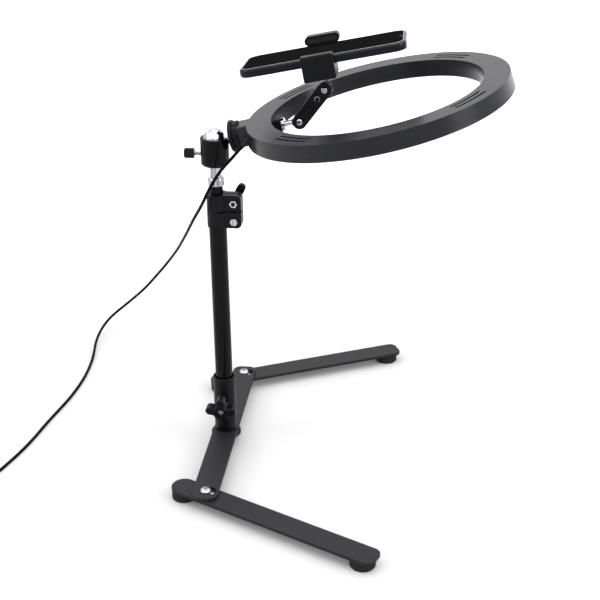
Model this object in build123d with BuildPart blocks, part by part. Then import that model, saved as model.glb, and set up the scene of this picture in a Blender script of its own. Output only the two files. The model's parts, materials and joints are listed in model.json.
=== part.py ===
"""Ring light on a folding desk stand, with a phone clamp on a jointed arm.

Millimetres, +Z up.  The origin is the foot of the column's axis on the desk.  The crossbar lies
along Y, the two legs and the ring reach towards +X.
"""
import math
import os
from build123d import *

os.makedirs("parts", exist_ok=True)

# ---- driving dimensions -------------------------------------------------------------------
# stand
foot_radius, foot_height = 12.6, 10.2
pad_radius, pad_thick = 16.0, 4.2       # the disc round the centre foot
plate_thick, washer_thick = 3.5, 0.3
pivot_span = 246.4            # between the two leg pivots
bar_width, bar_overhang = 26.6, 13.8
leg_width, leg_front, leg_tail, leg_splay = 25.7, 198.3, 40.4, 25.75
leg_foot_inset_front = 15.0
# column
tube_radius, tube_wall = 9.15, 1.2
sleeve_radius, sleeve_height = 11.95, 65.0
star_height, star_face = 51.4, 30.0
tube_top = 262.0
collar_radius, collar_bottom, collar_height = 10.5, tube_top - 5.5, 35.0
ear_reach, ear_half = 25.5, 6.5
inner_radius, inner_wall, inner_top = 6.5, 1.0, tube_top + 39.0
travel = 135.0                # how far the inner tube draws out
# ball head
spigot_radius, flare_radius, spigot_rise = 5.75, 8.15, 21.3
housing_radius, housing_height = 14.35, 28.2
ball_radius, ball_above_base = 11.5, 25.3
stem_radius, thread_radius = 3.75, 3.1
thumb_above_base = 10.7
platform_start, platform_radius, platform_thick = 17.4, 16.0, 3.6
lock_radius, lock_thick = 14.3, 5.6
# ring
head_tilt = 13.0              # the ring's rise from level, in degrees
ring_outer, ring_inner, ring_thick = 128.0, 103.5, 16.5
ring_reach, ring_rise = ring_outer + 37.4, 12.0
ring_flare = 1.45             # how far each wall leans out by the seam
seam_drop, wall = 12.0, 2.0
vent_first, vent_radii, vent_span, vent_width = 51.0, (111.2, 117.6), 20.0, 2.5
led_count = 48
# arm and clamp
stud_drop, arm_pivot = 10.0, 77.5
arm_roll, arm_rise, arm_length, arm_width = 4.5, 40.0, 39.7, 14.5
arm_gap, arm_plate = 4.1, 4.4
clamp_lean, clamp_yaw = 2.0, 2.4
clamp_width, clamp_low, clamp_high, clamp_face = 31.0, 12.8, 37.3, 27.0
# phone held in the clamp
phone_length, phone_width, phone_thick, phone_corner = 161.0, 77.0, 8.6, 12.0
phone_shift, phone_near, phone_low = 3.4, 16.5, 25.2
phone_base_gap = 1.1          # between the clamp's base and the phone over it
# cord
cord_radius, cord_total = 1.6, 2000.0
coil_radius, coil_hole, coil_height = 23.0, 13.0, 9.6

# ---- levels and frames worked out from them --------------------------------------------------
bar_low = foot_height + plate_thick + washer_thick
bar_top = bar_low + plate_thick
sleeve_top = bar_top + sleeve_height
sleeve_floor = bar_top + 12.0
collar_top = collar_bottom + collar_height
collar_mid = collar_bottom + 0.5 * collar_height
housing_low = inner_top + spigot_rise
housing_top = housing_low + housing_height
ball_z = housing_low + ball_above_base
thumb_z = housing_low + thumb_above_base
lock_start = platform_start + platform_thick + 0.3
block_start = lock_start + lock_thick + 0.3


def local(plane, origin=(0, 0, 0), x_dir=(1, 0, 0), z_dir=(0, 0, 1)):
    """A plane given by a point and two directions in another plane's own coordinates."""
    def turn(d):
        return plane.x_dir * d[0] + plane.y_dir * d[1] + plane.z_dir * d[2]
    return Plane(origin=plane.origin + turn(origin), x_dir=turn(x_dir), z_dir=turn(z_dir))


def lean(angle):
    """Cosine and sine of an angle in degrees."""
    return math.cos(math.radians(angle)), math.sin(math.radians(angle))


tilt_c, tilt_s = lean(head_tilt)
stem = Plane(origin=(0, 0, ball_z), x_dir=(0, 1, 0), z_dir=(tilt_c, 0, tilt_s))   # along the stem
head = Plane(origin=(0, 0, ball_z), x_dir=(tilt_c, 0, tilt_s), z_dir=(-tilt_s, 0, tilt_c))
ring = local(head, (ring_reach, 0, ring_rise))
ring_axis = Axis(ring.origin, ring.z_dir)
roll_c, roll_s = lean(arm_roll)
arm = local(ring, (-arm_pivot, 0, -stud_drop), (1, 0, 0), (0, roll_s, roll_c))
rise_c, rise_s = lean(arm_rise)
lean_c, lean_s = lean(clamp_lean)
neck = local(arm, (arm_length * rise_c, 0, arm_length * rise_s), (lean_c, 0, -lean_s), (lean_s, 0, lean_c))
yaw_c, yaw_s = lean(clamp_yaw)
clamp = local(neck, (0, 0, 0), (yaw_c, yaw_s, 0), (0, 0, 1))


def turned(plane, *profile):
    """A solid turned about a plane's normal from (radius, height) points."""
    with BuildPart() as piece:
        with BuildSketch(Plane(origin=plane.origin, x_dir=plane.x_dir, z_dir=-plane.y_dir)):
            with BuildLine():
                Polyline(*profile, close=True)
            make_face()
        revolve(axis=Axis(plane.origin, plane.z_dir))
    return piece.part


def rod(plane, start, end, radius, bore=0.0):
    """A round bar, or a tube if it has a bore, along a plane's normal."""
    return turned(plane, (bore, start), (radius, start), (radius, end), (bore, end))


def save(piece, name):
    """Name a finished piece and write its file."""
    piece.label = name
    export_step(piece, f"parts/{name}.step")


def save_set(pieces, name):
    """Write matching pieces that always stay together as one file."""
    save(Compound(children=list(pieces)), name)


# ---- stand --------------------------------------------------------------------------------------
recess_depth, recess_shift, stop_shift = 2.6, 2.8, 6.6

with BuildPart() as crossbar:
    with BuildSketch(Plane.XY.offset(bar_low)):
        RectangleRounded(bar_width, pivot_span + 2 * bar_overhang, 9)
    extrude(amount=plate_thick)
    fillet(crossbar.faces().sort_by(Axis.Z)[-1].edges(), 0.8)
    with BuildSketch(Plane.XY.offset(bar_top)):
        with Locations((recess_shift, pivot_span / 2), (recess_shift, -pivot_span / 2)):
            SlotOverall(17, 12.5)
    extrude(amount=-recess_depth, mode=Mode.SUBTRACT)
    with BuildSketch(Plane.XY.offset(bar_low)):
        with Locations((0, pivot_span / 2), (0, -pivot_span / 2)):
            Circle(3.05)
        with Locations((stop_shift, pivot_span / 2), (stop_shift, -pivot_span / 2)):
            Circle(2.0)
        Circle(4.1)
    extrude(amount=plate_thick + 1, mode=Mode.SUBTRACT)
save(crossbar.part, "crossbar")

bolts, nuts, washers = [], [], []
for name, side in (("front", -1), ("rear", 1)):
    splay_c, splay_s = lean(side * leg_splay)
    pivot = Plane(origin=(0, side * pivot_span / 2, 0), x_dir=(splay_c, splay_s, 0), z_dir=(0, 0, 1))
    tip_foot = leg_front - leg_foot_inset_front
    tail_foot = -leg_tail + leg_width / 2
    with BuildPart() as leg:
        with BuildSketch(local(pivot, (0, 0, foot_height))):
            with Locations(((leg_front + tail_foot) / 2, 0)):
                RectangleRounded(leg_front - tail_foot, leg_width, 8)
            with Locations((tail_foot + leg_width / 2, 0)):
                SlotOverall(2 * leg_width, leg_width)
        extrude(amount=plate_thick)
        fillet(leg.faces().sort_by(Axis.Z)[-1].edges(), 0.8)
        with BuildSketch(local(pivot, (0, 0, foot_height))):
            Circle(3.05)
        extrude(amount=plate_thick, mode=Mode.SUBTRACT)
        with BuildSketch(local(pivot, (0, 0, foot_height))):
            with Locations((tip_foot, 0), (tail_foot, 0)):
                Circle(1.65)
        extrude(amount=plate_thick - 0.6, mode=Mode.SUBTRACT)
    save(leg.part, f"{name}_leg")
    screws = []
    for end, along in (("tip", tip_foot), ("tail", tail_foot)):
        seat = local(pivot, (along, 0, 0))
        foot = turned(seat, (4.3, 0), (foot_radius - 1, 0), (foot_radius, 1.2),
                      (foot_radius, foot_height - 1), (foot_radius - 0.8, foot_height),
                      (1.75, foot_height), (1.75, 4.0), (4.3, 4.0))
        save(foot, f"{name}_{end}_foot")
        screws.append(turned(seat, (0, 1.4), (3.2, 1.4), (3.9, 2.2), (3.9, 4.0), (1.6, 4.0),
                             (1.6, foot_height + plate_thick - 1), (0, foot_height + plate_thick - 1)))
    save_set(screws, f"{name}_foot_screws")
    seat_z = bar_top - recess_depth
    with BuildPart() as bolt:
        add(turned(pivot, (0, 4.6), (3.0, 4.6), (3.0, seat_z), (5.3, seat_z), (5.3, seat_z + 3.2),
                   (4.0, seat_z + 4.6), (1.4, seat_z + 5.2), (0, seat_z + 5.2)))
        with BuildSketch(local(pivot, (0, 0, seat_z + 5.3))):
            RegularPolygon(2.3, 6)
        extrude(amount=-2.0, mode=Mode.SUBTRACT)
    bolts.append(bolt.part)
    with BuildPart() as nut:
        with BuildSketch(local(pivot, (0, 0, 5.2))):
            RegularPolygon(5.8, 6)
            Circle(3.05, mode=Mode.SUBTRACT)
        extrude(amount=foot_height - 5.2)
    nuts.append(nut.part)
    washers.append(rod(pivot, foot_height + plate_thick, bar_low, 9.0, 3.05))
save_set(bolts, "pivot_bolts")
save_set(nuts, "pivot_nuts")
save_set(washers, "pivot_washers")

pad_low = bar_low - pad_thick
save(turned(Plane.XY, (0, 0), (8.2, 0), (9.0, 0.8), (10.6, pad_low), (pad_radius - 0.8, pad_low),
            (pad_radius, pad_low + 0.8), (pad_radius, bar_low - 1), (pad_radius - 0.8, bar_low),
            (8.6, bar_low), (8.6, bar_low - 6.0), (0, bar_low - 6.0)), "centre_foot")

# ---- socket ---------------------------------------------------------------------------------------
star_plane = Plane(origin=(0, 0, star_height), x_dir=(1, 0, 0), z_dir=(0, -1, 0))

with BuildPart() as socket_bolt:
    with BuildSketch(Plane.XY.offset(bar_low - 5.5)):
        RegularPolygon(7.5, 6)
    extrude(amount=5.5)
    with BuildSketch(Plane.XY.offset(bar_low)):
        Circle(4.0)
    extrude(amount=plate_thick + 10)
save(socket_bolt.part, "socket_bolt")

with BuildPart() as socket_sleeve:
    add(turned(Plane.XY, (0, bar_top), (sleeve_radius, bar_top), (sleeve_radius, sleeve_top - 0.8),
               (sleeve_radius - 0.7, sleeve_top), (0, sleeve_top)))
    with BuildSketch(star_plane):
        Circle(6.6)
    extrude(amount=star_face - 11.3)
    add(turned(Plane.XY, (0, sleeve_floor), (tube_radius + 0.1, sleeve_floor),
               (tube_radius + 0.1, sleeve_top - 2.6), (tube_radius + 1.6, sleeve_top - 0.4),
               (tube_radius + 1.6, sleeve_top + 1), (0, sleeve_top + 1)), mode=Mode.SUBTRACT)
    add(rod(Plane.XY, bar_top - 1, sleeve_floor + 1, 4.05), mode=Mode.SUBTRACT)
    with BuildSketch(star_plane):
        Circle(3.05)
    extrude(amount=star_face, mode=Mode.SUBTRACT)
save(socket_sleeve.part, "socket_sleeve")

with BuildPart() as star_knob:
    with BuildSketch(local(star_plane, (0, 0, star_face - 11))):
        Circle(8.2)
        with PolarLocations(7.6, 3, start_angle=10, angular_range=160, endpoint=True):
            SlotOverall(18, 8.4)
    extrude(amount=11)
    fillet(star_knob.faces().sort_by(Axis.Y)[0].edges(), 1.2)
    with BuildSketch(local(star_plane, (0, 0, star_face))):
        Circle(4.2)
    extrude(amount=-4.5, mode=Mode.SUBTRACT)
    with BuildSketch(star_plane):
        Circle(3.0)
    extrude(amount=star_face, mode=Mode.SUBTRACT)
save(star_knob.part, "star_knob")
save(rod(star_plane, tube_radius + 0.15, star_face - 2.6, 3.0), "star_screw")

# ---- column ----------------------------------------------------------------------------------------
save(rod(Plane.XY, sleeve_floor + 0.5, tube_top, tube_radius, tube_radius - tube_wall), "lower_tube")

low_bolt_z, high_bolt_z, bolt_x = collar_bottom + 7.5, collar_top - 8.0, 18.0
side_plane = Plane(origin=(bolt_x, 0, 0), x_dir=(1, 0, 0), z_dir=(0, -1, 0))

with BuildPart() as collar:
    with BuildSketch(Plane.XZ):
        with BuildLine():
            Polyline((0, collar_bottom), (ear_reach, collar_bottom), (ear_reach, collar_top),
                     (0, collar_top), close=True)
        make_face()
        fillet([v for v in vertices() if v.X > ear_reach - 1], 5)
    extrude(amount=ear_half, both=True)
    with BuildSketch(Plane.XY.offset(collar_bottom)):
        Circle(collar_radius)
    extrude(amount=collar_height)
    with BuildSketch(Plane.XY.offset(collar_bottom)):
        Circle(tube_radius + 0.05)
    extrude(amount=collar_height / 2, mode=Mode.SUBTRACT)
    with BuildSketch(Plane.XY.offset(collar_bottom)):
        Circle(inner_radius + 0.06)
    extrude(amount=collar_height, mode=Mode.SUBTRACT)
    with Locations((2 + ear_reach / 2, 0, collar_mid)):
        Box(ear_reach, 40, 1.7, mode=Mode.SUBTRACT)
    with Locations((ear_reach / 2 + 3, 0, collar_mid)):
        Box(ear_reach + 2, 1.6, collar_height + 2, mode=Mode.SUBTRACT)
    for z in (low_bolt_z, high_bolt_z):
        with BuildSketch(local(side_plane, (0, 0, 0))):
            with Locations((0, z)):
                Circle(2.05)
        extrude(amount=20, both=True, mode=Mode.SUBTRACT)
save(collar.part, "collar")


def hex_piece(plane, across, start, end, bore=0.0):
    """A hexagonal head or nut along a plane's normal."""
    with BuildPart() as piece:
        with BuildSketch(local(plane, (0, 0, start))):
            RegularPolygon(across / 2 / math.cos(math.pi / 6), 6)
            if bore:
                Circle(bore, mode=Mode.SUBTRACT)
        extrude(amount=end - start)
    return piece.part


low_plane = local(side_plane, (0, low_bolt_z, 0))
high_plane = local(side_plane, (0, high_bolt_z, 0))
with BuildPart() as collar_bolt:
    add(hex_piece(low_plane, 7.0, ear_half, ear_half + 3.0))
    add(rod(low_plane, -ear_half - 4.4, ear_half, 2.0))
save(collar_bolt.part, "collar_bolt")
save_set([hex_piece(low_plane, 7.0, -ear_half - 3.2, -ear_half, 2.05),
          hex_piece(high_plane, 7.0, ear_half, ear_half + 3.2, 2.05)], "collar_nuts")
with BuildPart() as wing_screw:
    add(rod(high_plane, -ear_half - 1.0, ear_half + 4.2, 2.0))
    add(rod(high_plane, -ear_half - 9.6, -ear_half - 0.6, 4.6))
    with BuildSketch(local(high_plane, (0, 0, -ear_half - 9.6))):
        with Locations(Rotation(0, 0, 62)):
            SlotOverall(30, 8.5)
    extrude(amount=4.6)
save(wing_screw.part, "wing_screw")

save(rod(Plane.XY, inner_top - 189, inner_top, inner_radius, inner_radius - inner_wall), "inner_tube")

# ---- ball head -----------------------------------------------------------------------------------
save(turned(Plane.XY, (0, inner_top - 14), (inner_radius - inner_wall - 0.05, inner_top - 14),
            (inner_radius - inner_wall - 0.05, inner_top), (flare_radius, inner_top),
            (flare_radius, inner_top + 6.4), (flare_radius - 0.9, inner_top + 8.0),
            (spigot_radius, inner_top + 8.4), (spigot_radius, housing_low),
            (thread_radius - 0.05, housing_low), (thread_radius - 0.05, housing_low + 5.6),
            (0, housing_low + 5.6)), "spigot")

with BuildPart() as ball_housing:
    add(turned(Plane.XY, (0, housing_low), (housing_radius - 1.4, housing_low),
               (housing_radius, housing_low + 1.5), (housing_radius, housing_low + 3.6),
               (housing_radius - 0.3, housing_low + 3.9),
               (housing_radius - 0.3, housing_low + 4.3), (housing_radius, housing_low + 4.6),
               (housing_radius, housing_top - 0.7), (housing_radius - 0.7, housing_top), (0, housing_top)))
    with Locations((0, 0, ball_z)):
        Sphere(ball_radius + 0.08, mode=Mode.SUBTRACT)
    add(rod(Plane.XY, housing_low + 6.0, ball_z, 8.0), mode=Mode.SUBTRACT)
    add(rod(Plane.XY, housing_low - 1, housing_low + 7, thread_radius), mode=Mode.SUBTRACT)
    with BuildSketch(Plane.YZ):
        with Locations((0, ball_z)):
            Circle(stem_radius + 0.5)
        with Locations((0, ball_z + 10)):
            Rectangle(2 * stem_radius + 1.0, 20)
    extrude(amount=20, mode=Mode.SUBTRACT)
    with BuildSketch(Plane.YZ):
        with Locations((0, thumb_z)):
            Circle(2.05)
    extrude(amount=-20, mode=Mode.SUBTRACT)
save(ball_housing.part, "ball_housing")

with BuildPart() as pressure_pad:
    add(rod(Plane.XY, housing_low + 6.3, ball_z - 8.8, 7.94))
    with Locations((0, 0, ball_z)):
        Sphere(ball_radius + 0.05, mode=Mode.SUBTRACT)
    with BuildSketch(Plane.YZ.offset(-6.0)):
        with Locations((0, thumb_z)):
            Circle(2.2)
    extrude(amount=-4, mode=Mode.SUBTRACT)
save(pressure_pad.part, "pressure_pad")

thumb = Plane(origin=(0, 0, thumb_z), x_dir=(0, 1, 0), z_dir=(-1, 0, 0))
save(turned(thumb, (0, 6.2), (1.2, 6.2), (2.0, 7.4), (2.0, 22.6), (0, 22.6)), "thumb_screw")
save(turned(thumb, (2.0, 20.7), (4.5, 20.7), (5.1, 21.3), (5.1, 30.0), (4.5, 30.6),
            (0, 30.6), (0, 22.6), (2.0, 22.6)), "thumb_knob")

with BuildPart() as ball_stud:
    with Locations((0, 0, ball_z)):
        Sphere(ball_radius)
    add(rod(stem, 5, platform_start, stem_radius))
    add(rod(stem, platform_start - 1, block_start + 8.0, thread_radius - 0.05))
save(ball_stud.part, "ball_stud")

save(turned(stem, (thread_radius, platform_start), (platform_radius - 0.8, platform_start),
            (platform_radius, platform_start + 0.8), (platform_radius, platform_start + platform_thick),
            (thread_radius, platform_start + platform_thick)), "platform_disc")

with BuildPart() as lock_ring:
    add(rod(stem, lock_start, lock_start + lock_thick, lock_radius, thread_radius))
    with BuildSketch(local(stem, (0, 0, lock_start))):
        with PolarLocations(lock_radius + 1.2, 12):
            Circle(2.0)
    extrude(amount=lock_thick, mode=Mode.SUBTRACT)
save(lock_ring.part, "lock_ring")

# ---- ring ------------------------------------------------------------------------------------------
seam_out, seam_in = ring_outer + ring_flare, ring_inner - ring_flare - 0.5
ring_body = turned(ring, (seam_in - 0.9, -ring_thick - 0.1), (seam_in - 0.1, -seam_drop), (ring_inner, 0),
                   (ring_outer, 0), (seam_out + 0.1, -seam_drop), (seam_out + 0.7, -ring_thick - 0.1))

with BuildPart() as back_shell:
    with BuildSketch(local(ring, (0, 0, 0), (1, 0, 0), (0, -1, 0))):
        with BuildLine():
            Polyline((ring_inner, 0), (ring_outer, 0), (seam_out, -seam_drop), (seam_out - wall, -seam_drop),
                     (ring_outer - wall, -wall - 0.2), (ring_inner + wall, -wall - 0.2),
                     (seam_in + wall, -seam_drop), (seam_in, -seam_drop), close=True)
        make_face()
        fillet([v for v in vertices() if v.distance_to(ring.origin) < 200 and
                abs((Vector(*v) - ring.origin).dot(ring.z_dir)) < 0.01], 1.8)
    revolve(axis=ring_axis)
    with BuildSketch(ring):
        for group in range(4):
            for radius in vent_radii:
                start = vent_first + 90 * group - vent_span / 2
                middle = Edge.make_circle(radius, start_angle=start, end_angle=start + vent_span)
                SlotArc(middle, vent_width)
    extrude(amount=-wall - 1, mode=Mode.SUBTRACT)
save(back_shell.part, "back_shell")

save(turned(ring, (seam_in, -seam_drop - 0.1), (seam_out, -seam_drop - 0.1),
            (seam_out + 0.5, -ring_thick + 0.8), (seam_out - 0.2, -ring_thick),
            (seam_out - 2.6, -ring_thick), (seam_out - 2.6, -seam_drop - 1.0),
            (seam_in + 2.0, -seam_drop - 1.0), (seam_in + 2.0, -ring_thick), (seam_in - 0.1, -ring_thick),
            (seam_in - 0.7, -ring_thick + 0.8)), "front_frame")

with BuildPart() as led_board:
    add(rod(ring, -seam_drop - 1.7, -seam_drop - 1.05, seam_out - 4.0, seam_in + 3.5))
    with BuildSketch(local(ring, (0, 0, -seam_drop - 1.7))):
        with PolarLocations((seam_out + seam_in) / 2 - 0.5, led_count):
            Rectangle(3.5, 2.8)
    extrude(amount=-0.6)
save(led_board.part, "led_board")

save(rod(ring, -ring_thick + 0.4, -ring_thick + 1.9, seam_out - 2.7, seam_in + 2.1), "diffuser")

with BuildPart() as ring_bracket:
    with BuildSketch(local(stem, (0, 0, block_start))):
        with Locations((0, 0.5)):
            RectangleRounded(25, 21, 2)
    extrude(amount=ring_reach - ring_outer - block_start + 4)
    add(ring_body, mode=Mode.SUBTRACT)
    with BuildSketch(local(stem, (0, 0, block_start))):
        Circle(thread_radius)
    extrude(amount=8.3, mode=Mode.SUBTRACT)
save(ring_bracket.part, "ring_bracket")

# ---- arm ---------------------------------------------------------------------------------------------
stud = local(ring, (-arm_pivot, 0, -stud_drop), (0, roll_c, -roll_s), (-1, 0, 0))   # towards the ring wall
wall_at = ring_inner - arm_pivot - 1.0
with BuildPart() as arm_seat:
    with BuildSketch(local(stud, (0, 0, wall_at - 7))):
        RectangleRounded(15, 13, 2)
    extrude(amount=9)
    add(ring_body, mode=Mode.SUBTRACT)
    with BuildSketch(local(stud, (0, 0, wall_at - 8))):
        Circle(2.8)
    extrude(amount=7, mode=Mode.SUBTRACT)
save(arm_seat.part, "arm_seat")
save(rod(stud, wall_at - 9.8, wall_at - 7.1, 6.2, 2.8), "stud_lock")

eye_half = arm_gap / 2 - 0.15
cross = local(arm, (0, 0, 0), (1, 0, 0), (0, -1, 0))       # arm's plane seen from the front
neck_cross = local(neck, (0, 0, 0), (1, 0, 0), (0, -1, 0))
with BuildPart() as arm_stud:
    add(rod(stud, 8, wall_at - 1.2, 2.75))
    add(rod(cross, -eye_half, eye_half, 6.0))
    with BuildSketch(stud):
        Rectangle(2 * eye_half, 5.4)
    extrude(amount=9)
    add(rod(cross, -5, 5, 2.05), mode=Mode.SUBTRACT)
save(arm_stud.part, "arm_stud")

knob_at = arm_length - 11.1
bar = local(cross, (0, 0, 0), (rise_c, rise_s, 0))         # along the arm
half_gap, half_arm = arm_gap / 2, arm_gap / 2 + arm_plate
for name, near, far in (("front", half_gap, half_arm), ("rear", -half_arm, -half_gap)):
    with BuildPart() as arm_side:
        with BuildSketch(local(bar, (arm_length / 2, 0, near))):
            SlotCenterToCenter(arm_length, arm_width)
        extrude(amount=far - near)
        across_arm = Axis(bar.origin, bar.z_dir)
        outer = arm_side.faces().filter_by(across_arm).sort_by(across_arm)[-1 if name == "front" else 0]
        fillet(outer.edges(), 1.0)
        with BuildSketch(local(bar, (0, 0, near))):
            with Locations((0, 0), (arm_length, 0), (knob_at, 0)):
                Circle(2.05)
        extrude(amount=far - near, mode=Mode.SUBTRACT)
        if name == "front":
            with BuildSketch(local(bar, (knob_at / 2 - 0.5, 0, far))):
                SlotOverall(knob_at - 7.0, 8.5)
                with Locations((-1.5, 0)):
                    SlotOverall(12, 5.5, mode=Mode.SUBTRACT)
            extrude(amount=-0.8, mode=Mode.SUBTRACT)
    save(arm_side.part, f"arm_{name}_plate")

pins = []
for along in (0.0, arm_length):
    pins.append(turned(local(bar, (along, 0, 0)), (0, -half_arm + 0.5), (1.98, -half_arm + 0.5),
                       (1.98, half_arm), (2.9, half_arm), (2.9, half_arm + 0.7), (2.2, half_arm + 1.2),
                       (0, half_arm + 1.2)))
save_set(pins, "arm_pins")

knob_plane = local(bar, (knob_at, 0, 0))
save(hex_piece(knob_plane, 5.6, half_arm, half_arm + 1.2, 2.05), "arm_nut")
with BuildPart() as arm_knob:
    add(rod(knob_plane, -half_arm - 3, half_arm + 1.0, 2.0))
    with BuildSketch(local(knob_plane, (0, 0, -half_arm - 9.5))):
        Circle(6.4)
        with PolarLocations(5.6, 5):
            Circle(2.6)
    extrude(amount=9.2)
save(arm_knob.part, "arm_knob")

# ---- clamp ----------------------------------------------------------------------------------------------
with BuildPart() as clamp_stud:
    add(rod(neck_cross, -eye_half, eye_half, 6.0))
    with BuildSketch(neck):
        Rectangle(5.4, 2 * eye_half)
    extrude(amount=9)
    add(rod(neck, 8, clamp_low - 0.1, 2.75))
    add(rod(neck, clamp_low - 1.8, clamp_low - 0.1, 4.6))
    add(rod(neck, clamp_low - 1, clamp_low + 5.5, 2.9))
    add(rod(neck_cross, -5, 5, 2.05), mode=Mode.SUBTRACT)
save(clamp_stud.part, "clamp_stud")

rod_span, rod_level, base_back, base_high = 18.0, clamp_low + 4.7, 12.0, phone_low - phone_base_gap
front_inner = phone_near + 1.5
far_edge = phone_width - phone_near
with BuildPart() as clamp_body:
    with BuildSketch(local(clamp, (0, 0, 0), (0, 1, 0), (1, 0, 0))):
        with BuildLine():
            Polyline((-clamp_face, clamp_low), (base_back, clamp_low), (base_back, base_high),
                     (-front_inner, base_high), (-front_inner, clamp_high), (-clamp_face, clamp_high),
                     close=True)
        make_face()
    extrude(amount=clamp_width / 2, both=True)
    fillet(clamp_body.edges().filter_by(Axis(clamp.origin, clamp.y_dir)), 1.8)
    fillet(clamp_body.faces().sort_by(Axis(clamp.origin, clamp.y_dir))[0].edges(), 1.5)
    with BuildSketch(local(clamp, (0, 0, clamp_low))):
        Circle(2.95)
    extrude(amount=6.0, mode=Mode.SUBTRACT)
    with BuildSketch(local(clamp, (0, base_back, rod_level), (-1, 0, 0), (0, 1, 0))):
        with Locations((rod_span / 2, 0), (-rod_span / 2, 0)):
            Circle(2.06)
    extrude(amount=-base_back - clamp_face + 5, mode=Mode.SUBTRACT)
save(clamp_body.part, "clamp_body")

pad_level = phone_low + phone_thick / 2
with BuildPart() as front_pad:
    with BuildSketch(local(clamp, (0, -front_inner + 0.02, pad_level), (1, 0, 0), (0, -1, 0))):
        RectangleRounded(27, phone_thick, 2)
    extrude(amount=-1.35)
save(front_pad.part, "front_pad")

jaw_face, jaw_back, lip_reach = far_edge + 0.3, far_edge + 6.4, 8.0
jaw_plane = local(clamp, (0, jaw_back, 0), (-1, 0, 0), (0, 1, 0))
lip_level = phone_low + phone_thick + 5.1
with BuildPart() as jaw:
    with BuildSketch(jaw_plane):
        with Locations((0, (clamp_low + 0.8 + clamp_high) / 2)):
            RectangleRounded(28, clamp_high - clamp_low - 0.8, 3)
    extrude(amount=-(jaw_back - jaw_face))
    with BuildSketch(jaw_plane):
        with Locations((0, lip_level)):
            SlotOverall(35, 9.4)
    extrude(amount=-(jaw_back - jaw_face) - lip_reach)
    with BuildSketch(local(clamp, (0, jaw_face - lip_reach, lip_level), (1, 0, 0), (0, -1, 0))):
        SlotOverall(31.4, 5.8)
    extrude(amount=-0.9, mode=Mode.SUBTRACT)
    with BuildSketch(local(clamp, (0, jaw_face, rod_level), (-1, 0, 0), (0, 1, 0))):
        with Locations((rod_span / 2, 0), (-rod_span / 2, 0)):
            Circle(2.0)
    extrude(amount=4, mode=Mode.SUBTRACT)
save(jaw.part, "jaw")

rod_length = jaw_face + 4 + clamp_face - 7
guides = []
for side in (-1, 1):
    rod_plane = local(clamp, (side * rod_span / 2, jaw_face + 4, rod_level), (1, 0, 0), (0, -1, 0))
    guides.append(rod(rod_plane, 0, rod_length, 2.0))
save_set(guides, "guide_rods")

# ---- phone -----------------------------------------------------------------------------------------------
phone = local(clamp, (phone_shift, far_edge - phone_width / 2, phone_low))
with BuildPart() as phone_body:
    with BuildSketch(phone):
        RectangleRounded(phone_length, phone_width, phone_corner)
    extrude(amount=phone_thick)
    up = Axis(phone.origin, phone.z_dir)
    fillet(phone_body.faces().sort_by(up)[-1].edges() + phone_body.faces().sort_by(up)[0].edges(), 2.6)
    with BuildSketch(local(phone, (0, 0, phone_thick))):
        RectangleRounded(phone_length - 6, phone_width - 6, phone_corner - 3)
    extrude(amount=-0.7, mode=Mode.SUBTRACT)
    with BuildSketch(local(phone, (18, -phone_width / 2, phone_thick / 2), (1, 0, 0), (0, -1, 0))):
        SlotOverall(15, 3.2)
    extrude(amount=-1.5, mode=Mode.SUBTRACT)
save(phone_body.part, "phone_body")
with BuildPart() as phone_screen:
    with BuildSketch(local(phone, (0, 0, phone_thick - 0.7))):
        RectangleRounded(phone_length - 6.1, phone_width - 6.1, phone_corner - 3.05)
    extrude(amount=0.7)
save(phone_screen.part, "phone_screen")
with BuildPart() as phone_button:
    with BuildSketch(local(phone, (18, -phone_width / 2 + 0.9, phone_thick / 2), (1, 0, 0), (0, -1, 0))):
        SlotOverall(14.6, 2.8)
    extrude(amount=1.3)
save(phone_button.part, "phone_button")

# ---- cord ----------------------------------------------------------------------------------------------
exit_angle, exit_down, gland_length = -168.0, 35.0, 8.0
exit_c, exit_s = lean(exit_angle)
down_c, down_s = lean(exit_down)
gland_root = local(ring, (exit_c * (seam_out - 0.3), exit_s * (seam_out - 0.3), -seam_drop + 1),
                   (-exit_s, exit_c, 0), (exit_c * down_c, exit_s * down_c, -down_s))
with BuildPart() as cord_gland:
    add(turned(gland_root, (0, -2.5), (3.3, -2.5), (3.3, 2.6), (2.9, 3.0), (2.2, gland_length),
               (0, gland_length)))
    add(ring_body, mode=Mode.SUBTRACT)
save(cord_gland.part, "cord_gland")

floor = cord_radius
cord_exit = gland_root.origin + gland_root.z_dir * gland_length
coil_centre = Vector(-280.5, -141.3, 0)
wrap = coil_radius - cord_radius
lead = 14.0
coil_in = coil_centre + Vector(wrap * math.cos(math.radians(-30)), wrap * math.sin(math.radians(-30)), floor)
coil_in_dir = Vector(math.sin(math.radians(-30)), -math.cos(math.radians(-30)), 0)
coil_out = coil_centre + Vector(-wrap, 0, floor)
cord_end = coil_in - coil_in_dir * lead
cord_route = [
    cord_exit,
    cord_exit + gland_root.z_dir * 15,
    Vector(9, -32, 325), Vector(-3, -27, 304), Vector(-13, -15, 283), Vector(-25, 6, 262),
    Vector(-38, 40, 237), Vector(-53, 85, 208), Vector(-68, 131, 180), Vector(-83, 174, 152),
    Vector(-99, 213, 125), Vector(-116, 245, 98), Vector(-134, 266, 73), Vector(-154, 274, 48),
    Vector(-178, 268, 28), Vector(-199, 247, 15), Vector(-205, 211, 6), Vector(-197, 166, floor),
    Vector(-194, 118, floor), Vector(-198, 68, floor), Vector(-208, 17, floor), Vector(-215, -34, floor),
    Vector(-227, -79, floor), cord_end - coil_in_dir * 34, cord_end,
]
plug_z = 4.2
plug_route = [
    coil_out + Vector(0, lead, 0), coil_out + Vector(0, lead + 9, 0),
    coil_out + Vector(-1.5, lead + 19, plug_z - floor), coil_out + Vector(-1.5, lead + 30, plug_z - floor),
]


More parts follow.
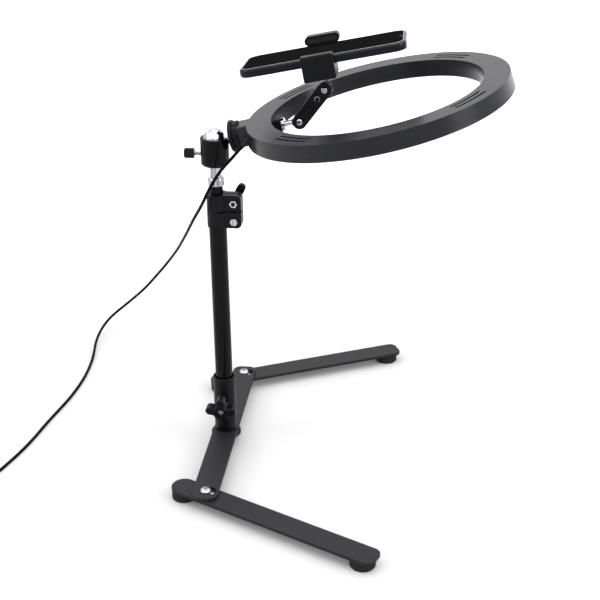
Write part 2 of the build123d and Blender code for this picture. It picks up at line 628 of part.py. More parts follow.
def corner_radii(points):
    """As large an arc at each corner as its two runs leave room for."""
    radii = []
    for before, here, after in zip(points, points[1:], points[2:]):
        turn = (here - before).get_angle(after - here)
        shorter = min((here - before).length, (after - here).length)
        radii.append(0.45 * shorter / math.tan(math.radians(turn / 2)))
    return radii


def cord_piece(points, name):
    """A tube of cord along a route; gives back its length."""
    radii = corner_radii(points)
    print(name, "radii", [round(r) for r in radii])
    with BuildPart() as piece:
        with BuildLine() as path:
            FilletPolyline(*points, radius=radii)
        with BuildSketch(Plane(origin=points[0], z_dir=points[1] - points[0])):
            Circle(cord_radius)
        sweep()
    length = sum(edge.length for edge in path.edges())
    print(name, "length", round(length, 1), "volume over section times length",
          round(piece.part.volume / (math.pi * cord_radius ** 2 * length), 4))
    save(piece.part, name)
    return length


laid = cord_piece(cord_route, "cord_tube") + cord_piece(plug_route, "cord_tail")
print("length left in the coil", round(cord_total - laid, 1))

with BuildPart() as cord_coil:
    add(rod(Plane(origin=coil_centre), 0, coil_height, coil_radius, coil_hole))
    for start, direction in ((cord_end, coil_in_dir), (plug_route[0], Vector(0, -1, 0))):
        with BuildSketch(Plane(origin=start, z_dir=direction)):
            Circle(cord_radius)
        extrude(amount=lead)
save(cord_coil.part, "cord_coil")

plug = Plane(origin=plug_route[-1], x_dir=(1, 0, 0), z_dir=(0, 1, 0))
with BuildPart() as plug_body:
    add(turned(plug, (0, 0), (2.3, 0), (2.9, 8), (0, 8)))
    with BuildSketch(local(plug, (0, 0, 7))):
        RectangleRounded(15.6, 8.0, 2.5)
    extrude(amount=22)
    with BuildSketch(local(plug, (0, 0, 29))):
        Rectangle(12.1, 4.6)
    extrude(amount=-4, mode=Mode.SUBTRACT)
save(plug_body.part, "plug_body")
with BuildPart() as plug_shell:
    with BuildSketch(local(plug, (0, 0, 25))):
        Rectangle(12.0, 4.5)
    extrude(amount=16)
    with BuildSketch(local(plug, (0, 0, 41))):
        with Locations((0, 0.9)):
            Rectangle(11.2, 1.9)
    extrude(amount=-11, mode=Mode.SUBTRACT)
save(plug_shell.part, "plug_shell")
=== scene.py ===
"""Ring light on a folding desk stand: the finished surfaces, cord, finishes and studio.

Metres, +Z up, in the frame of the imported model.  The column's axis meets the desk at the origin.
"""
import json
import math

import bmesh
import bpy
import numpy as np
from bpy.props import FloatProperty, FloatVectorProperty, IntProperty, PointerProperty
from bpy.types import Operator, Panel, PropertyGroup
from mathutils import Matrix, Vector


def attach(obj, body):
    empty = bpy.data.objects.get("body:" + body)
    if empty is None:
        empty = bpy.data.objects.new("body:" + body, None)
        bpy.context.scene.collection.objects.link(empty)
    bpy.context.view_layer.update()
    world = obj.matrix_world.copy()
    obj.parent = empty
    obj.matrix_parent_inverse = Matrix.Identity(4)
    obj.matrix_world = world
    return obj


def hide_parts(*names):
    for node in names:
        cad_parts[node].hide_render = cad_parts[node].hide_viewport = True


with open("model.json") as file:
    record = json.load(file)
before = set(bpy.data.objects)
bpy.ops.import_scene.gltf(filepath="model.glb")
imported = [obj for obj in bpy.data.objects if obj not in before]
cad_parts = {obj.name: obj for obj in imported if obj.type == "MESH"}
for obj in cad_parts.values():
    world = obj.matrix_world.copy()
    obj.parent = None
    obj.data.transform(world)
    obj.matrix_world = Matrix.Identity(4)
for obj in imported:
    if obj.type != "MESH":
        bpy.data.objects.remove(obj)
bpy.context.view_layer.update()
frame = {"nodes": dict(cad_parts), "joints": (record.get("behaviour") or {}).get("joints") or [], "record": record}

bl_info = {
    "name": "Ring light finisher",
    "version": (1, 0, 0),
    "blender": (4, 5, 0),
    "location": "View3D > Sidebar > Ring light",
    "description": "Makes the cord, small pieces, finishes and studio of a ring light on a desk stand",
    "category": "Add Mesh",
}

NODES = frame["nodes"]
JOINTS = {joint["name"]: joint for joint in frame["joints"]}
MM = 0.001

# The phone and jaw sizes here repeat those of the model, in its clamp's own directions.
SWIVEL_ABOVE_ORIGIN = 15.0 * MM         # the swivel joint's height up the clamp's neck
PHONE_SHIFT, PHONE_MIDDLE, GLASS_LEVEL = 3.4 * MM, 22.0 * MM, 33.8 * MM
LIP_FRONT, LIP_LEVEL = 52.8 * MM, 38.9 * MM


def unit(v):
    """The same direction at length 1."""
    v = np.asarray(v, float)
    return v / np.linalg.norm(v)


def joint_axis(name):
    """The direction of a joint, as a unit vector."""
    return unit(JOINTS[name]["axis"])


def across(axis, near):
    """Two unit vectors square to axis, the first as near as it can be to the given direction."""
    first = unit(np.asarray(near, float) - np.dot(near, axis) * axis)
    return first, np.cross(axis, first)


# ---- settings ----------------------------------------------------------------------------------

class CordSettings(PropertyGroup):
    """The free cord and the strain relief that it comes out of."""
    diameter: FloatProperty(name="Diameter", description="Outer diameter of the cord",
                            default=0.0032, min=0.001, unit="LENGTH")
    total: FloatProperty(name="Length", description="Real length from the ring to the plug",
                         default=2.0, min=0.5, unit="LENGTH")
    turn_points: IntProperty(name="Points a turn", description="Control points in each turn of the coil",
                             default=16, min=12)
    sleeve_ribs: IntProperty(name="Sleeve ribs", description="Grooves round the strain relief",
                             default=4, min=1)


class DetailSettings(PropertyGroup):
    """Sizes of the small turned and moulded pieces."""
    knurl_count: IntProperty(name="Knurls", description="Ridges round the thumb knob", default=28, min=8)
    knurl_depth: FloatProperty(name="Knurl depth", description="How deep the grooves between ridges are",
                               default=0.00038, unit="LENGTH")
    thread_pitch: FloatProperty(name="Thread pitch", description="Rise of one turn of the thumb screw",
                                default=0.0007, unit="LENGTH")
    thread_depth: FloatProperty(name="Thread depth", description="Crest to root of the thumb screw",
                                default=0.0003, unit="LENGTH")
    pad_ribs: IntProperty(name="Pad ribs", description="Ribs across the jaw's grip strip",
                          default=15, min=3)


class FinishSettings(PropertyGroup):
    """Base colours of the finishes."""
    powder: FloatVectorProperty(name="Powder coat", description="Legs and crossbar", subtype="COLOR",
                                default=(0.0125, 0.0125, 0.0150))
    lacquer: FloatVectorProperty(name="Gloss lacquer", description="Tubes and ball housing",
                                 subtype="COLOR", default=(0.0010, 0.0010, 0.0016))
    shell: FloatVectorProperty(name="Ring shell", description="Moulded halves of the ring",
                               subtype="COLOR", default=(0.0050, 0.0056, 0.0085))
    moulded: FloatVectorProperty(name="Moulded black", description="Clamp, socket, collar and knobs",
                                 subtype="COLOR", default=(0.0032, 0.0035, 0.0047))
    screen: FloatVectorProperty(name="Screen", description="Glass of the phone when it is off",
                                subtype="COLOR", default=(0.0048, 0.0048, 0.0047))


class StudioSettings(PropertyGroup):
    """Where the camera stands and how bright the studio is."""
    place: FloatVectorProperty(name="Camera", description="Camera position", subtype="TRANSLATION",
                               default=(0.223211, -1.141915, 0.736476))
    heading: FloatProperty(name="Heading", description="Turn of the view to the left of +Y",
                           subtype="ANGLE", default=math.radians(6.99))
    pitch: FloatProperty(name="Pitch", description="How far the view looks down", subtype="ANGLE",
                         default=math.radians(25.97))
    roll: FloatProperty(name="Roll", description="Turn about the line of sight", subtype="ANGLE",
                        default=math.radians(0.59))
    lens: FloatProperty(name="Lens", description="Focal length on a 36 mm sensor, in millimetres",
                        default=74.03)
    key: FloatProperty(name="Key light", description="Power of the large lamp, in watts", default=40.0)
    fill: FloatProperty(name="Sky", description="Strength of the white surround", default=2.3)


# ---- surfaces ----------------------------------------------------------------------------------

MERGE_DISTANCE = 1e-7                   # points closer than this are one point


def surface(name, points, wrap_rows=False, wrap_columns=True):
    """A mesh over a grid of points: quads between neighbours, doubles merged, faces outward."""
    rows, columns = points.shape[:2]
    r = np.arange(rows if wrap_rows else rows - 1)
    c = np.arange(columns if wrap_columns else columns - 1)
    r, c = (a.ravel() for a in np.meshgrid(r, c, indexing="ij"))
    r_next, c_next = (r + 1) % rows, (c + 1) % columns
    quads = np.stack([r * columns + c, r * columns + c_next, r_next * columns + c_next,
                      r_next * columns + c], axis=1)
    mesh = bpy.data.meshes.new(name)
    mesh.from_pydata(points.reshape(-1, 3).tolist(), [], quads.tolist())
    work = bmesh.new()
    work.from_mesh(mesh)
    bmesh.ops.remove_doubles(work, verts=work.verts, dist=MERGE_DISTANCE)
    bmesh.ops.recalc_face_normals(work, faces=work.faces)
    work.to_mesh(mesh)
    work.free()
    piece = bpy.data.objects.new(name, mesh)
    bpy.context.scene.collection.objects.link(piece)
    return piece


def smooth_by_angle(piece, degrees=35.0):
    """Shade smooth except across edges sharper than the angle."""
    piece.data.polygons.foreach_set("use_smooth", np.ones(len(piece.data.polygons), bool))
    piece.data.set_sharp_from_angle(angle=math.radians(degrees))


def turned(name, origin, axis, near, radius, heights, around=96):
    """A patterned body of revolution: radius(turn, height) about an axis, closed by a pole at each end.

    Each point is origin + height * axis + radius * (cos(turn) * first + sin(turn) * second).
    """
    first, second = across(axis, near)
    turn = np.linspace(0, 2 * math.pi, around, endpoint=False)
    height, angle = np.meshgrid(heights, turn, indexing="ij")
    r = radius(angle, height)
    ring = (np.asarray(origin) + height[..., None] * axis
            + r[..., None] * (np.cos(angle)[..., None] * first + np.sin(angle)[..., None] * second))
    low = np.broadcast_to(np.asarray(origin) + heights[0] * axis, ring[:1].shape)
    high = np.broadcast_to(np.asarray(origin) + heights[-1] * axis, ring[:1].shape)
    return surface(name, np.concatenate([low, ring, high]))


# ---- finishes ----------------------------------------------------------------------------------

NOISE_LOW, NOISE_HIGH = 0.3, 0.7        # the noise values that the two ends of a finish stand for
CLOUD_SHARE = 0.3                       # scale of the colour noise against that of the grain
CLOUD_DETAIL = 5.0
GRAIN_HEIGHT = 0.1 * MM
COAT_ROUGHNESS = 0.05
LEAST_ROUGHNESS = 0.02


def finish(name, base, roughness, metallic=0.0, coat=0.0, grain=900.0, spread=0.06, rough_spread=0.025,
           bump=0.08, stretch=(1.0, 1.0, 1.0), specular=0.12, cells=False):
    """A moulded, painted or metal finish.

    Fine noise on Object coordinates shifts the colour and roughness by a little, and a second,
    finer pattern gives the height of the grain: cells for an orange-peel coat, noise otherwise.
    """
    material = bpy.data.materials.new(name)
    material.use_nodes = True
    tree = material.node_tree
    tree.nodes.clear()
    link = tree.links.new
    output = tree.nodes.new("ShaderNodeOutputMaterial")
    shader = tree.nodes.new("ShaderNodeBsdfPrincipled")
    link(shader.outputs["BSDF"], output.inputs["Surface"])
    shader.inputs["Metallic"].default_value = metallic
    shader.inputs["Coat Weight"].default_value = coat
    shader.inputs["Coat Roughness"].default_value = COAT_ROUGHNESS
    shader.inputs["Specular IOR Level"].default_value = specular
    place = tree.nodes.new("ShaderNodeTexCoord")
    mapping = tree.nodes.new("ShaderNodeMapping")
    mapping.inputs["Scale"].default_value = stretch
    link(place.outputs["Object"], mapping.inputs["Vector"])
    cloud = tree.nodes.new("ShaderNodeTexNoise")
    cloud.inputs["Scale"].default_value = grain * CLOUD_SHARE
    cloud.inputs["Detail"].default_value = CLOUD_DETAIL
    link(mapping.outputs["Vector"], cloud.inputs["Vector"])
    ramp = tree.nodes.new("ShaderNodeValToRGB")
    ends = zip(ramp.color_ramp.elements, (NOISE_LOW, NOISE_HIGH), (1 - spread, 1 + spread))
    for element, position, share in ends:
        element.position = position
        element.color = (*[min(c * share, 1.0) for c in base], 1)
    link(cloud.outputs["Fac"], ramp.inputs["Fac"])
    link(ramp.outputs["Color"], shader.inputs["Base Color"])
    worn = tree.nodes.new("ShaderNodeMapRange")
    worn.inputs["From Min"].default_value = NOISE_LOW
    worn.inputs["From Max"].default_value = NOISE_HIGH
    worn.inputs["To Min"].default_value = max(roughness - rough_spread, LEAST_ROUGHNESS)
    worn.inputs["To Max"].default_value = roughness + rough_spread
    link(cloud.outputs["Fac"], worn.inputs["Value"])
    link(worn.outputs["Result"], shader.inputs["Roughness"])
    fine = tree.nodes.new("ShaderNodeTexVoronoi" if cells else "ShaderNodeTexNoise")
    fine.inputs["Scale"].default_value = grain
    link(mapping.outputs["Vector"], fine.inputs["Vector"])
    height = tree.nodes.new("ShaderNodeBump")
    height.inputs["Strength"].default_value = bump
    height.inputs["Distance"].default_value = GRAIN_HEIGHT
    link(fine.outputs["Distance" if cells else "Fac"], height.inputs["Height"])
    link(height.outputs["Normal"], shader.inputs["Normal"])
    return material


def make_finishes(colours):
    """Every finish of the object, by the name of the material slot that it dresses."""
    powder, lacquer = tuple(colours.powder), tuple(colours.lacquer)
    moulded, shell, screen = tuple(colours.moulded), tuple(colours.shell), tuple(colours.screen)
    return {
        "charcoal": finish("powder_coat", powder, 0.45, grain=1600, bump=0.3, cells=True),
        "gloss_black": finish("gloss_lacquer", lacquer, 0.15, grain=500, bump=0.02,
                              rough_spread=0.03),
        "satin_plastic": finish("moulded_satin", moulded, 0.34, grain=2200, bump=0.12),
        "shell_plastic": finish("ring_shell_satin", shell, 0.25, grain=2600, bump=0.006, specular=0.32),
        "rubber": finish("foot_rubber", (0.012, 0.012, 0.013), 0.72, grain=1500, bump=0.3),
        "zinc": finish("bright_zinc", (0.42, 0.44, 0.46), 0.3, metallic=1.0, grain=1200, bump=0.1,
                       rough_spread=0.1),
        # The chrome's colour noise is spread wide and stretched up the part, so it paints light and dark streaks
        # of reflection into the chrome's colour.
        "chrome": finish("polished_chrome", (0.42, 0.43, 0.45), 0.08, metallic=1.0, grain=900,
                         spread=0.6, bump=0.015, rough_spread=0.03, stretch=(1.0, 1.0, 0.04)),
        "brushed_nickel": finish("plug_nickel", (0.58, 0.57, 0.55), 0.24, metallic=1.0, grain=1500,
                                 bump=0.08, stretch=(1.0, 0.05, 1.0)),
        "nylon": finish("nylon", (0.66, 0.65, 0.60), 0.5, grain=900, bump=0.1),
        "diffuser_white": finish("milky_diffuser", (0.82, 0.82, 0.79), 0.42, grain=1400, spread=0.03,
                                 bump=0.08),
        "board_white": finish("board_lacquer", (0.72, 0.72, 0.66), 0.35, grain=800, spread=0.05,
                              bump=0.04),
        "phone_case": finish("phone_side_gloss", (0.003, 0.004, 0.007), 0.2, coat=0.1, grain=900,
                             bump=0.02, rough_spread=0.03),
        "screen_glass": finish("screen_glass_dark", screen, 0.35, grain=300, spread=0.03,
                               bump=0.0, rough_spread=0.03, specular=0.0),
        "cord_jacket": finish("cord_jacket", (0.002, 0.002, 0.0025), 0.5, grain=1800, bump=0.12,
                              specular=0.03),
    }


FINISHES = {}                           # filled by the finishes operator, by slot name


def dress(piece, slot_name):
    """Give a new piece the finish of the record's slot with the given name."""
    piece.data.materials.clear()
    piece.data.materials.append(FINISHES[slot_name])
    return piece


# ---- studio ------------------------------------------------------------------------------------

SENSOR_WIDTH = 36.0                     # millimetres, as a camera counts
NEAREST_SEEN = 0.05
FLOOR_HALF_SIDE = 30.0
# Painted light on the floor: its colour ramps from darker near the stand to paler at the back, where less lamp
# light reaches.
NEAR_FLOOR, FAR_FLOOR = (0.3, 0.46), (1.3, 0.93)      # (y, how pale)
LAMP_TARGET = (0.1, 0.0, 0.25)
SIDE_LAMPS = (("left", (-1.6, -0.9, 1.0), 0.5, 9.0), ("right", (1.7, -0.5, 1.0), 0.6, 11.0))
SKY_STEPS = ((0.0, 0.40), (0.30, 0.42), (0.55, 1.0), (0.85, 0.6))      # (height, brightness)
SKY_BLUE = 1.02                         # blue of the surround against its red and green


class RINGLIGHT_OT_studio(Operator):
    """Set up the floor, the soft lights and the camera"""
    bl_idname = "ringlight.studio"
    bl_label = "Make the studio"

    def execute(self, context):
        studio = context.scene.ringlight_studio
        sin_h, cos_h = math.sin(studio.heading), math.cos(studio.heading)
        sin_p, cos_p = math.sin(studio.pitch), math.cos(studio.pitch)
        ahead = Vector((-sin_h * cos_p, cos_h * cos_p, -sin_p))
        level = Vector((cos_h, sin_h, 0.0))
        upright = level.cross(ahead)
        right = level * math.cos(studio.roll) - upright * math.sin(studio.roll)
        up = level * math.sin(studio.roll) + upright * math.cos(studio.roll)
        data = bpy.data.cameras.new("camera")
        data.sensor_width = SENSOR_WIDTH
        data.lens = studio.lens
        data.clip_start = NEAREST_SEEN
        camera = bpy.data.objects.new("camera", data)
        turn = Matrix((right, up, -ahead)).transposed().to_4x4()
        camera.matrix_world = Matrix.Translation(Vector(studio.place)) @ turn
        context.scene.collection.objects.link(camera)
        context.scene.camera = camera
        context.scene.view_settings.view_transform = "Standard"
        self.floor(context)
        self.lights(context, studio)
        return {"FINISHED"}

    def floor(self, context):
        """A flat square sheet: x and y run over the grid and z is 0. Its colour is painted light: it is paler
        towards the back, to make up for the lamp light that falls off there, and darker near the stand, to dim the
        floor's reflection in the glossy parts.
        """
        side = np.linspace(-FLOOR_HALF_SIDE, FLOOR_HALF_SIDE, 3)
        x, y = np.meshgrid(side, side, indexing="ij")
        sheet = surface("floor", np.stack([x, y, np.zeros_like(x)], axis=-1), wrap_columns=False)
        paint = finish("floor_painted_light", (NEAR_FLOOR[1],) * 3, 0.8, grain=60, spread=0.005, bump=0.0)
        tree = paint.node_tree
        place = tree.nodes.new("ShaderNodeTexCoord")
        parts = tree.nodes.new("ShaderNodeSeparateXYZ")
        # painted light: the floor's colour grows paler with distance back
        depth = tree.nodes.new("ShaderNodeMapRange")
        for end, (distance, pale) in (("Min", NEAR_FLOOR), ("Max", FAR_FLOOR)):
            depth.inputs["From " + end].default_value = distance
            depth.inputs["To " + end].default_value = pale
        tree.links.new(place.outputs["Object"], parts.inputs["Vector"])
        tree.links.new(parts.outputs["Y"], depth.inputs["Value"])
        tree.links.new(depth.outputs["Result"], tree.nodes["Principled BSDF"].inputs["Base Color"])
        sheet.data.materials.append(paint)

    def lights(self, context, studio):
        """A large soft lamp overhead, a small one at each side, and a surround that fades downwards."""
        for name, place, size, power in (("key", (0.2, -0.1, 2.0), 2.6, studio.key), *SIDE_LAMPS):
            data = bpy.data.lights.new(name, "AREA")
            data.size = size
            data.energy = power
            lamp = bpy.data.objects.new(name, data)
            lamp.location = place
            aim = Vector(LAMP_TARGET) - Vector(place)
            lamp.rotation_euler = aim.to_track_quat("-Z", "Y").to_euler()
            context.scene.collection.objects.link(lamp)
        world = bpy.data.worlds.new("surround")
        world.use_nodes = True
        back = world.node_tree.nodes["Background"]
        back.inputs["Strength"].default_value = studio.fill
        tree = world.node_tree
        direction = tree.nodes.new("ShaderNodeTexCoord")
        parts = tree.nodes.new("ShaderNodeSeparateXYZ")
        sky = tree.nodes.new("ShaderNodeValToRGB")
        tree.links.new(direction.outputs["Generated"], parts.inputs["Vector"])
        tree.links.new(parts.outputs["Z"], sky.inputs["Fac"])
        tree.links.new(sky.outputs["Color"], back.inputs["Color"])
        ramp = sky.color_ramp
        for position, grey in SKY_STEPS[1:-1]:
            ramp.elements.new(position)
        for element, (position, grey) in zip(ramp.elements, SKY_STEPS):
            element.position = position
            element.color = (grey, grey, grey * SKY_BLUE, 1)
        context.scene.world = world


# ---- cord --------------------------------------------------------------------------------------

ROUTE = (
    (0.03263, -0.02821, 0.35145), (0.02286, -0.03077, 0.34036), (0.009, -0.032, 0.325),
    (-0.003, -0.027, 0.304), (-0.013, -0.015, 0.283), (-0.025, 0.006, 0.262), (-0.038, 0.040, 0.237),
    (-0.053, 0.085, 0.208), (-0.068, 0.131, 0.180), (-0.083, 0.174, 0.152), (-0.099, 0.213, 0.125),
    (-0.116, 0.245, 0.098), (-0.134, 0.266, 0.073), (-0.154, 0.274, 0.048), (-0.178, 0.268, 0.028),
    (-0.199, 0.247, 0.015), (-0.205, 0.211, 0.006), (-0.197, 0.166, 0.0016), (-0.194, 0.118, 0.0016),
    (-0.198, 0.068, 0.0016), (-0.208, 0.017, 0.0016), (-0.215, -0.034, 0.0016),
    (-0.227, -0.079, 0.0016), (-0.23797, -0.11043, 0.0016), (-0.25497, -0.13988, 0.0016),
)
TO_PLUG = ((-0.3019, -0.1273, 0.0098), (-0.3019, -0.1183, 0.0078), (-0.3034, -0.1083, 0.0052),
           (-0.3034, -0.0973, 0.0042))
COIL_CENTRE = (-0.2805, -0.1413)
GLAND_ROOT = np.array([0.03785, -0.02685, 0.35736])
GLAND_DIRECTION = unit([-0.6517, -0.1703, -0.7391])


def coil_points(per_turn):
    """Clockwise turns in three tracks and three layers, then one low crossing over the top.

    Each turn keeps to one place of the section (track radius, layer height), and slides to the next
    over 38 degrees.  A later turn slides earlier round the coil, so no two want one place at once.
    """
    outer, middle, inner = 21.4, 18.0, 14.6
    low, mid, high, crossing = 1.6, 4.8, 8.0, 11.2
    places = np.array([(outer, low), (middle, low), (inner, low), (inner, mid), (middle, mid),
                       (outer, mid), (outer, high), (middle, high), (inner, high)]) * MM
    slide = 38.0 / 360.0
    last = len(places) - 1
    start_angle, exit_turn = -30.0, 150.0 / 360.0
    turns = np.arange(0, last + exit_turn + 1e-9, 1.0 / per_turn)
    section = np.tile(places[0], (len(turns), 1))
    for k in range(last):
        begin = k + (last - k) * slide
        part = np.clip((turns - begin) / slide, 0, 1)
        section += (part * part * (3 - 2 * part))[:, None] * (places[k + 1] - places[k])
    lift = np.clip((turns - (last - 0.06)) / 0.14, 0, 1)
    out = np.clip((turns - (last + slide)) / (exit_turn - slide), 0, 1)
    section[:, 1] += (lift * lift * (3 - 2 * lift)) * (crossing - high) * MM
    section[:, 0] += (out * out * (3 - 2 * out)) * (outer - inner) * MM
    angle = np.radians(start_angle - 360.0 * turns)
    return np.stack([COIL_CENTRE[0] + section[:, 0] * np.cos(angle),
                     COIL_CENTRE[1] + section[:, 0] * np.sin(angle), section[:, 1]], axis=1)


class RINGLIGHT_OT_cord(Operator):
    """Lay the cord from the ring down to its coil and plug"""
    bl_idname = "ringlight.cord"
    bl_label = "Lay the cord"

    def execute(self, context):
        settings = context.scene.ringlight_cord
        points = np.concatenate([np.array(ROUTE), coil_points(settings.turn_points), np.array(TO_PLUG)])
        data = bpy.data.curves.new("cord", "CURVE")
        data.dimensions = "3D"
        data.bevel_depth = settings.diameter / 2
        data.bevel_resolution = 5
        data.resolution_u = 6
        data.use_fill_caps = True
        line = data.splines.new("NURBS")
        line.points.add(len(points) - 1)
        line.points.foreach_set("co", np.hstack([points, np.ones((len(points), 1))]).ravel())
        line.order_u = 3
        line.use_endpoint_u = True
        cord = bpy.data.objects.new("cord", data)
        context.scene.collection.objects.link(cord)
        dress(cord, "cord_jacket")
        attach(cord, "stand")
        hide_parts("cord_tube", "cord_coil", "cord_tail")
        self.strain_relief(settings)
        return {"FINISHED"}

    def strain_relief(self, settings):
        """A tapered sleeve: its radius falls from root to tip, less a cosine groove for each rib."""
        length, root_radius, tip_radius, groove = 8.0 * MM, 3.25 * MM, 2.2 * MM, 0.28 * MM

        def radius(angle, height):
            part = np.clip(height / length, 0, 1)
            waves = 0.5 - 0.5 * np.cos(2 * math.pi * settings.sleeve_ribs * part)
            return root_radius + (tip_radius - root_radius) * part - groove * waves

        sleeve = turned("strain_relief", GLAND_ROOT, GLAND_DIRECTION, (0, 0, 1), radius,
                        np.linspace(-1.5 * MM, length, 80), around=64)
        smooth_by_angle(sleeve, 60)
        dress(sleeve, "rubber")
        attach(sleeve, "ring")
        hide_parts("cord_gland")


# ---- finishes on the model's own nodes ---------------------------------------------------------

class RINGLIGHT_OT_finishes(Operator):
    """Put the finishes on every node of the model"""
    bl_idname = "ringlight.finishes"
    bl_label = "Finish the nodes"

    def execute(self, context):
        FINISHES.update(make_finishes(context.scene.ringlight_finish))
        for part in frame["record"]["subparts"]:
            node = NODES[part["node"]]
            node.data.materials.clear()
            node.data.materials.append(FINISHES[part["material_slot"]])
        return {"FINISHED"}


# ---- thumb screw -------------------------------------------------------------------------------

class RINGLIGHT_OT_thumb_screw(Operator):
    """Make the knurled thumb knob and its threaded shaft"""
    bl_idname = "ringlight.thumb_screw"
    bl_label = "Make the thumb screw"

    def execute(self, context):
        sizes = context.scene.ringlight_detail
        axis = joint_axis("thumb_screw_turn")
        pivot = np.array(JOINTS["thumb_screw_turn"]["pos_m"])
        root = np.array([0.0, 0.0, pivot[2]])
        inner_end, outer_end, grip_radius = 20.7 * MM, 30.6 * MM, 5.1 * MM
        rim, bevel_depth = 0.7 * MM, 0.6 * MM
        shaft_start, shaft_end, shaft_radius = 7.4 * MM, 22.0 * MM, 2.0 * MM

        def grip(angle, height):
            """Radius less a rounded groove between ridges, and less a bevel that grows at each end."""
            edge = np.minimum(height - inner_end, outer_end - height)
            bevel = np.clip(1 - edge / rim, 0, 1) * bevel_depth
            groove = 0.5 - 0.5 * np.cos(sizes.knurl_count * angle)
            return grip_radius - bevel - sizes.knurl_depth * groove * np.clip(edge / rim, 0, 1)

        def thread(angle, height):
            """A helical ridge: the depth follows a triangle wave of height over pitch plus turn."""
            phase = (height / sizes.thread_pitch + angle / (2 * math.pi)) % 1.0
            return shaft_radius - sizes.thread_depth * np.abs(2 * phase - 1)

        knob = turned("thumb_grip", root, axis, (0, 0, 1), grip, np.linspace(inner_end, outer_end, 40),
                      around=sizes.knurl_count * 8)
        smooth_by_angle(knob, 50)
        dress(knob, "satin_plastic")
        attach(knob, "thumb_screw")
        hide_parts("thumb_knob")
        shaft = turned("thumb_thread", root, axis, (0, 0, 1), thread,
                       np.arange(shaft_start, shaft_end, sizes.thread_pitch / 8), around=48)
        smooth_by_angle(shaft, 70)
        dress(shaft, "zinc")
        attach(shaft, "thumb_screw")
        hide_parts("thumb_screw")
        return {"FINISHED"}


# ---- phone and jaw trim ------------------------------------------------------------------------

def clamp_frame():
    """The clamp's own directions and origin: along the phone, towards the jaw, up the neck."""
    along, towards = joint_axis("phone_slide"), joint_axis("jaw_pull")
    upward = joint_axis("clamp_swivel")
    origin = np.array(JOINTS["clamp_swivel"]["pos_m"]) - SWIVEL_ABOVE_ORIGIN * upward
    return origin, along, towards, upward


class RINGLIGHT_OT_phone_trim(Operator):
    """Add the phone's glass rim and its front camera"""
    bl_idname = "ringlight.phone_trim"
    bl_label = "Trim the phone"

    def execute(self, context):
        """The rim is a flattened ring of section carried round a rounded oblong, the lens a low dome."""
        origin, along, towards, upward = clamp_frame()
        centre = origin + PHONE_SHIFT * along + PHONE_MIDDLE * towards + GLASS_LEVEL * upward
        half_long, half_wide, corner = 77.6 * MM, 36.4 * MM, 10.5 * MM
        thick, flatness = 0.28 * MM, 0.35
        lens_along, lens_radius, lens_rise = 75.0 * MM, 1.5 * MM, 0.12 * MM
        path_angle = np.linspace(0, 2 * math.pi, 160, endpoint=False)
        quarter = np.sign(np.cos(path_angle)), np.sign(np.sin(path_angle))
        x = quarter[0] * (half_long - corner) + corner * np.cos(path_angle)
        y = quarter[1] * (half_wide - corner) + corner * np.sin(path_angle)
        outward = np.stack([np.cos(path_angle), np.sin(path_angle)], axis=1)
        tube = np.linspace(0, 2 * math.pi, 8, endpoint=False)
        swell = thick * np.cos(tube)
        rise = thick * flatness * np.sin(tube)
        px = x[:, None] + swell * outward[:, :1]
        py = y[:, None] + swell * outward[:, 1:]
        grid = (centre + px[..., None] * along + py[..., None] * towards
                + np.broadcast_to(rise, px.shape)[..., None] * upward)
        rim = surface("phone_glass_rim", grid, wrap_rows=True)
        smooth_by_angle(rim, 80)
        dress(rim, "zinc")
        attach(rim, "phone")

        def dome(angle, height):
            """An ellipse: the radius falls to nothing at the rise above and below the glass."""
            return lens_radius * np.sqrt(np.clip(1 - (height / lens_rise) ** 2, 0, 1))

        lens = turned("phone_front_camera", centre + lens_along * along, upward, along, dome,
                      np.linspace(-lens_rise, lens_rise, 13), around=32)
        smooth_by_angle(lens, 80)
        dress(lens, "phone_case")
        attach(lens, "phone")
        return {"FINISHED"}


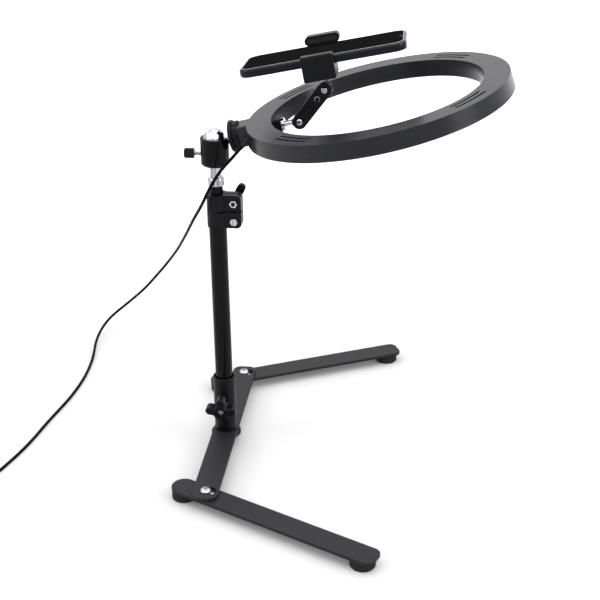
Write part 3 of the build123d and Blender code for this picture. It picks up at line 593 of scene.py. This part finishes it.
class RINGLIGHT_OT_jaw_strip(Operator):
    """Add the ribbed grip strip in the jaw's lip"""
    bl_idname = "ringlight.jaw_strip"
    bl_label = "Make the grip strip"

    def execute(self, context):
        """A closed pad: a rounded slot outline carried through its depth, its ribs a cosine along it."""
        sizes = context.scene.ringlight_detail
        origin, along, towards, upward = clamp_frame()
        half_run, half_tall, deep, rib = 12.6 * MM, 2.7 * MM, 0.75 * MM, 0.32 * MM
        centre_share, rings, face_share = 0.05, 24, 0.15
        angle = np.linspace(0, 2 * math.pi, 240, endpoint=False)
        across_run = np.sign(np.cos(angle)) * half_run + half_tall * np.cos(angle)
        tall = half_tall * np.sin(angle)
        shrink = np.concatenate([np.zeros(1), np.linspace(centre_share, 1.0, rings), [1.0]])
        depth = np.concatenate([np.full(rings + 1, face_share), [1.0]])
        u = shrink[:, None] * across_run
        v = shrink[:, None] * tall
        ribs = 0.5 - 0.5 * np.cos(2 * math.pi * sizes.pad_ribs * u / (2 * (half_run + half_tall)))
        d = depth[:, None] * deep + np.where(depth[:, None] < 0.5, rib * ribs, 0)
        middle = origin + LIP_LEVEL * upward + LIP_FRONT * towards
        grid = (middle + u[..., None] * along + v[..., None] * upward + d[..., None] * towards)
        back = np.broadcast_to(middle + deep * towards, grid[:1].shape)
        strip = surface("jaw_grip_strip", np.concatenate([grid, back]))
        smooth_by_angle(strip, 50)
        dress(strip, "rubber")
        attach(strip, "jaw")
        return {"FINISHED"}


# ---- panel and registration --------------------------------------------------------------------

class RINGLIGHT_PT_panel(Panel):
    """Lists the pieces and their sizes"""
    bl_label = "Ring light"
    bl_idname = "RINGLIGHT_PT_panel"
    bl_space_type = "VIEW_3D"
    bl_region_type = "UI"
    bl_category = "Ring light"

    def draw(self, context):
        for operator in OPERATORS:
            self.layout.operator(operator.bl_idname)
        for name in SETTINGS:
            box = self.layout.box()
            group = getattr(context.scene, name)
            for key in group.__annotations__:
                box.prop(group, key)


OPERATORS = (RINGLIGHT_OT_studio, RINGLIGHT_OT_finishes, RINGLIGHT_OT_cord, RINGLIGHT_OT_thumb_screw,
             RINGLIGHT_OT_phone_trim, RINGLIGHT_OT_jaw_strip)
SETTINGS = {"ringlight_cord": CordSettings, "ringlight_detail": DetailSettings,
            "ringlight_finish": FinishSettings, "ringlight_studio": StudioSettings}


def register():
    for cls in (*SETTINGS.values(), *OPERATORS, RINGLIGHT_PT_panel):
        bpy.utils.register_class(cls)
    for name, cls in SETTINGS.items():
        setattr(bpy.types.Scene, name, PointerProperty(type=cls))


def unregister():
    for name in SETTINGS:
        delattr(bpy.types.Scene, name)
    for cls in reversed((*SETTINGS.values(), *OPERATORS, RINGLIGHT_PT_panel)):
        bpy.utils.unregister_class(cls)


def main():
    """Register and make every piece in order."""
    register()
    bpy.ops.ringlight.studio()
    bpy.ops.ringlight.finishes()
    bpy.ops.ringlight.cord()
    bpy.ops.ringlight.thumb_screw()
    bpy.ops.ringlight.phone_trim()
    bpy.ops.ringlight.jaw_strip()


if __name__ == "__main__":
    main()
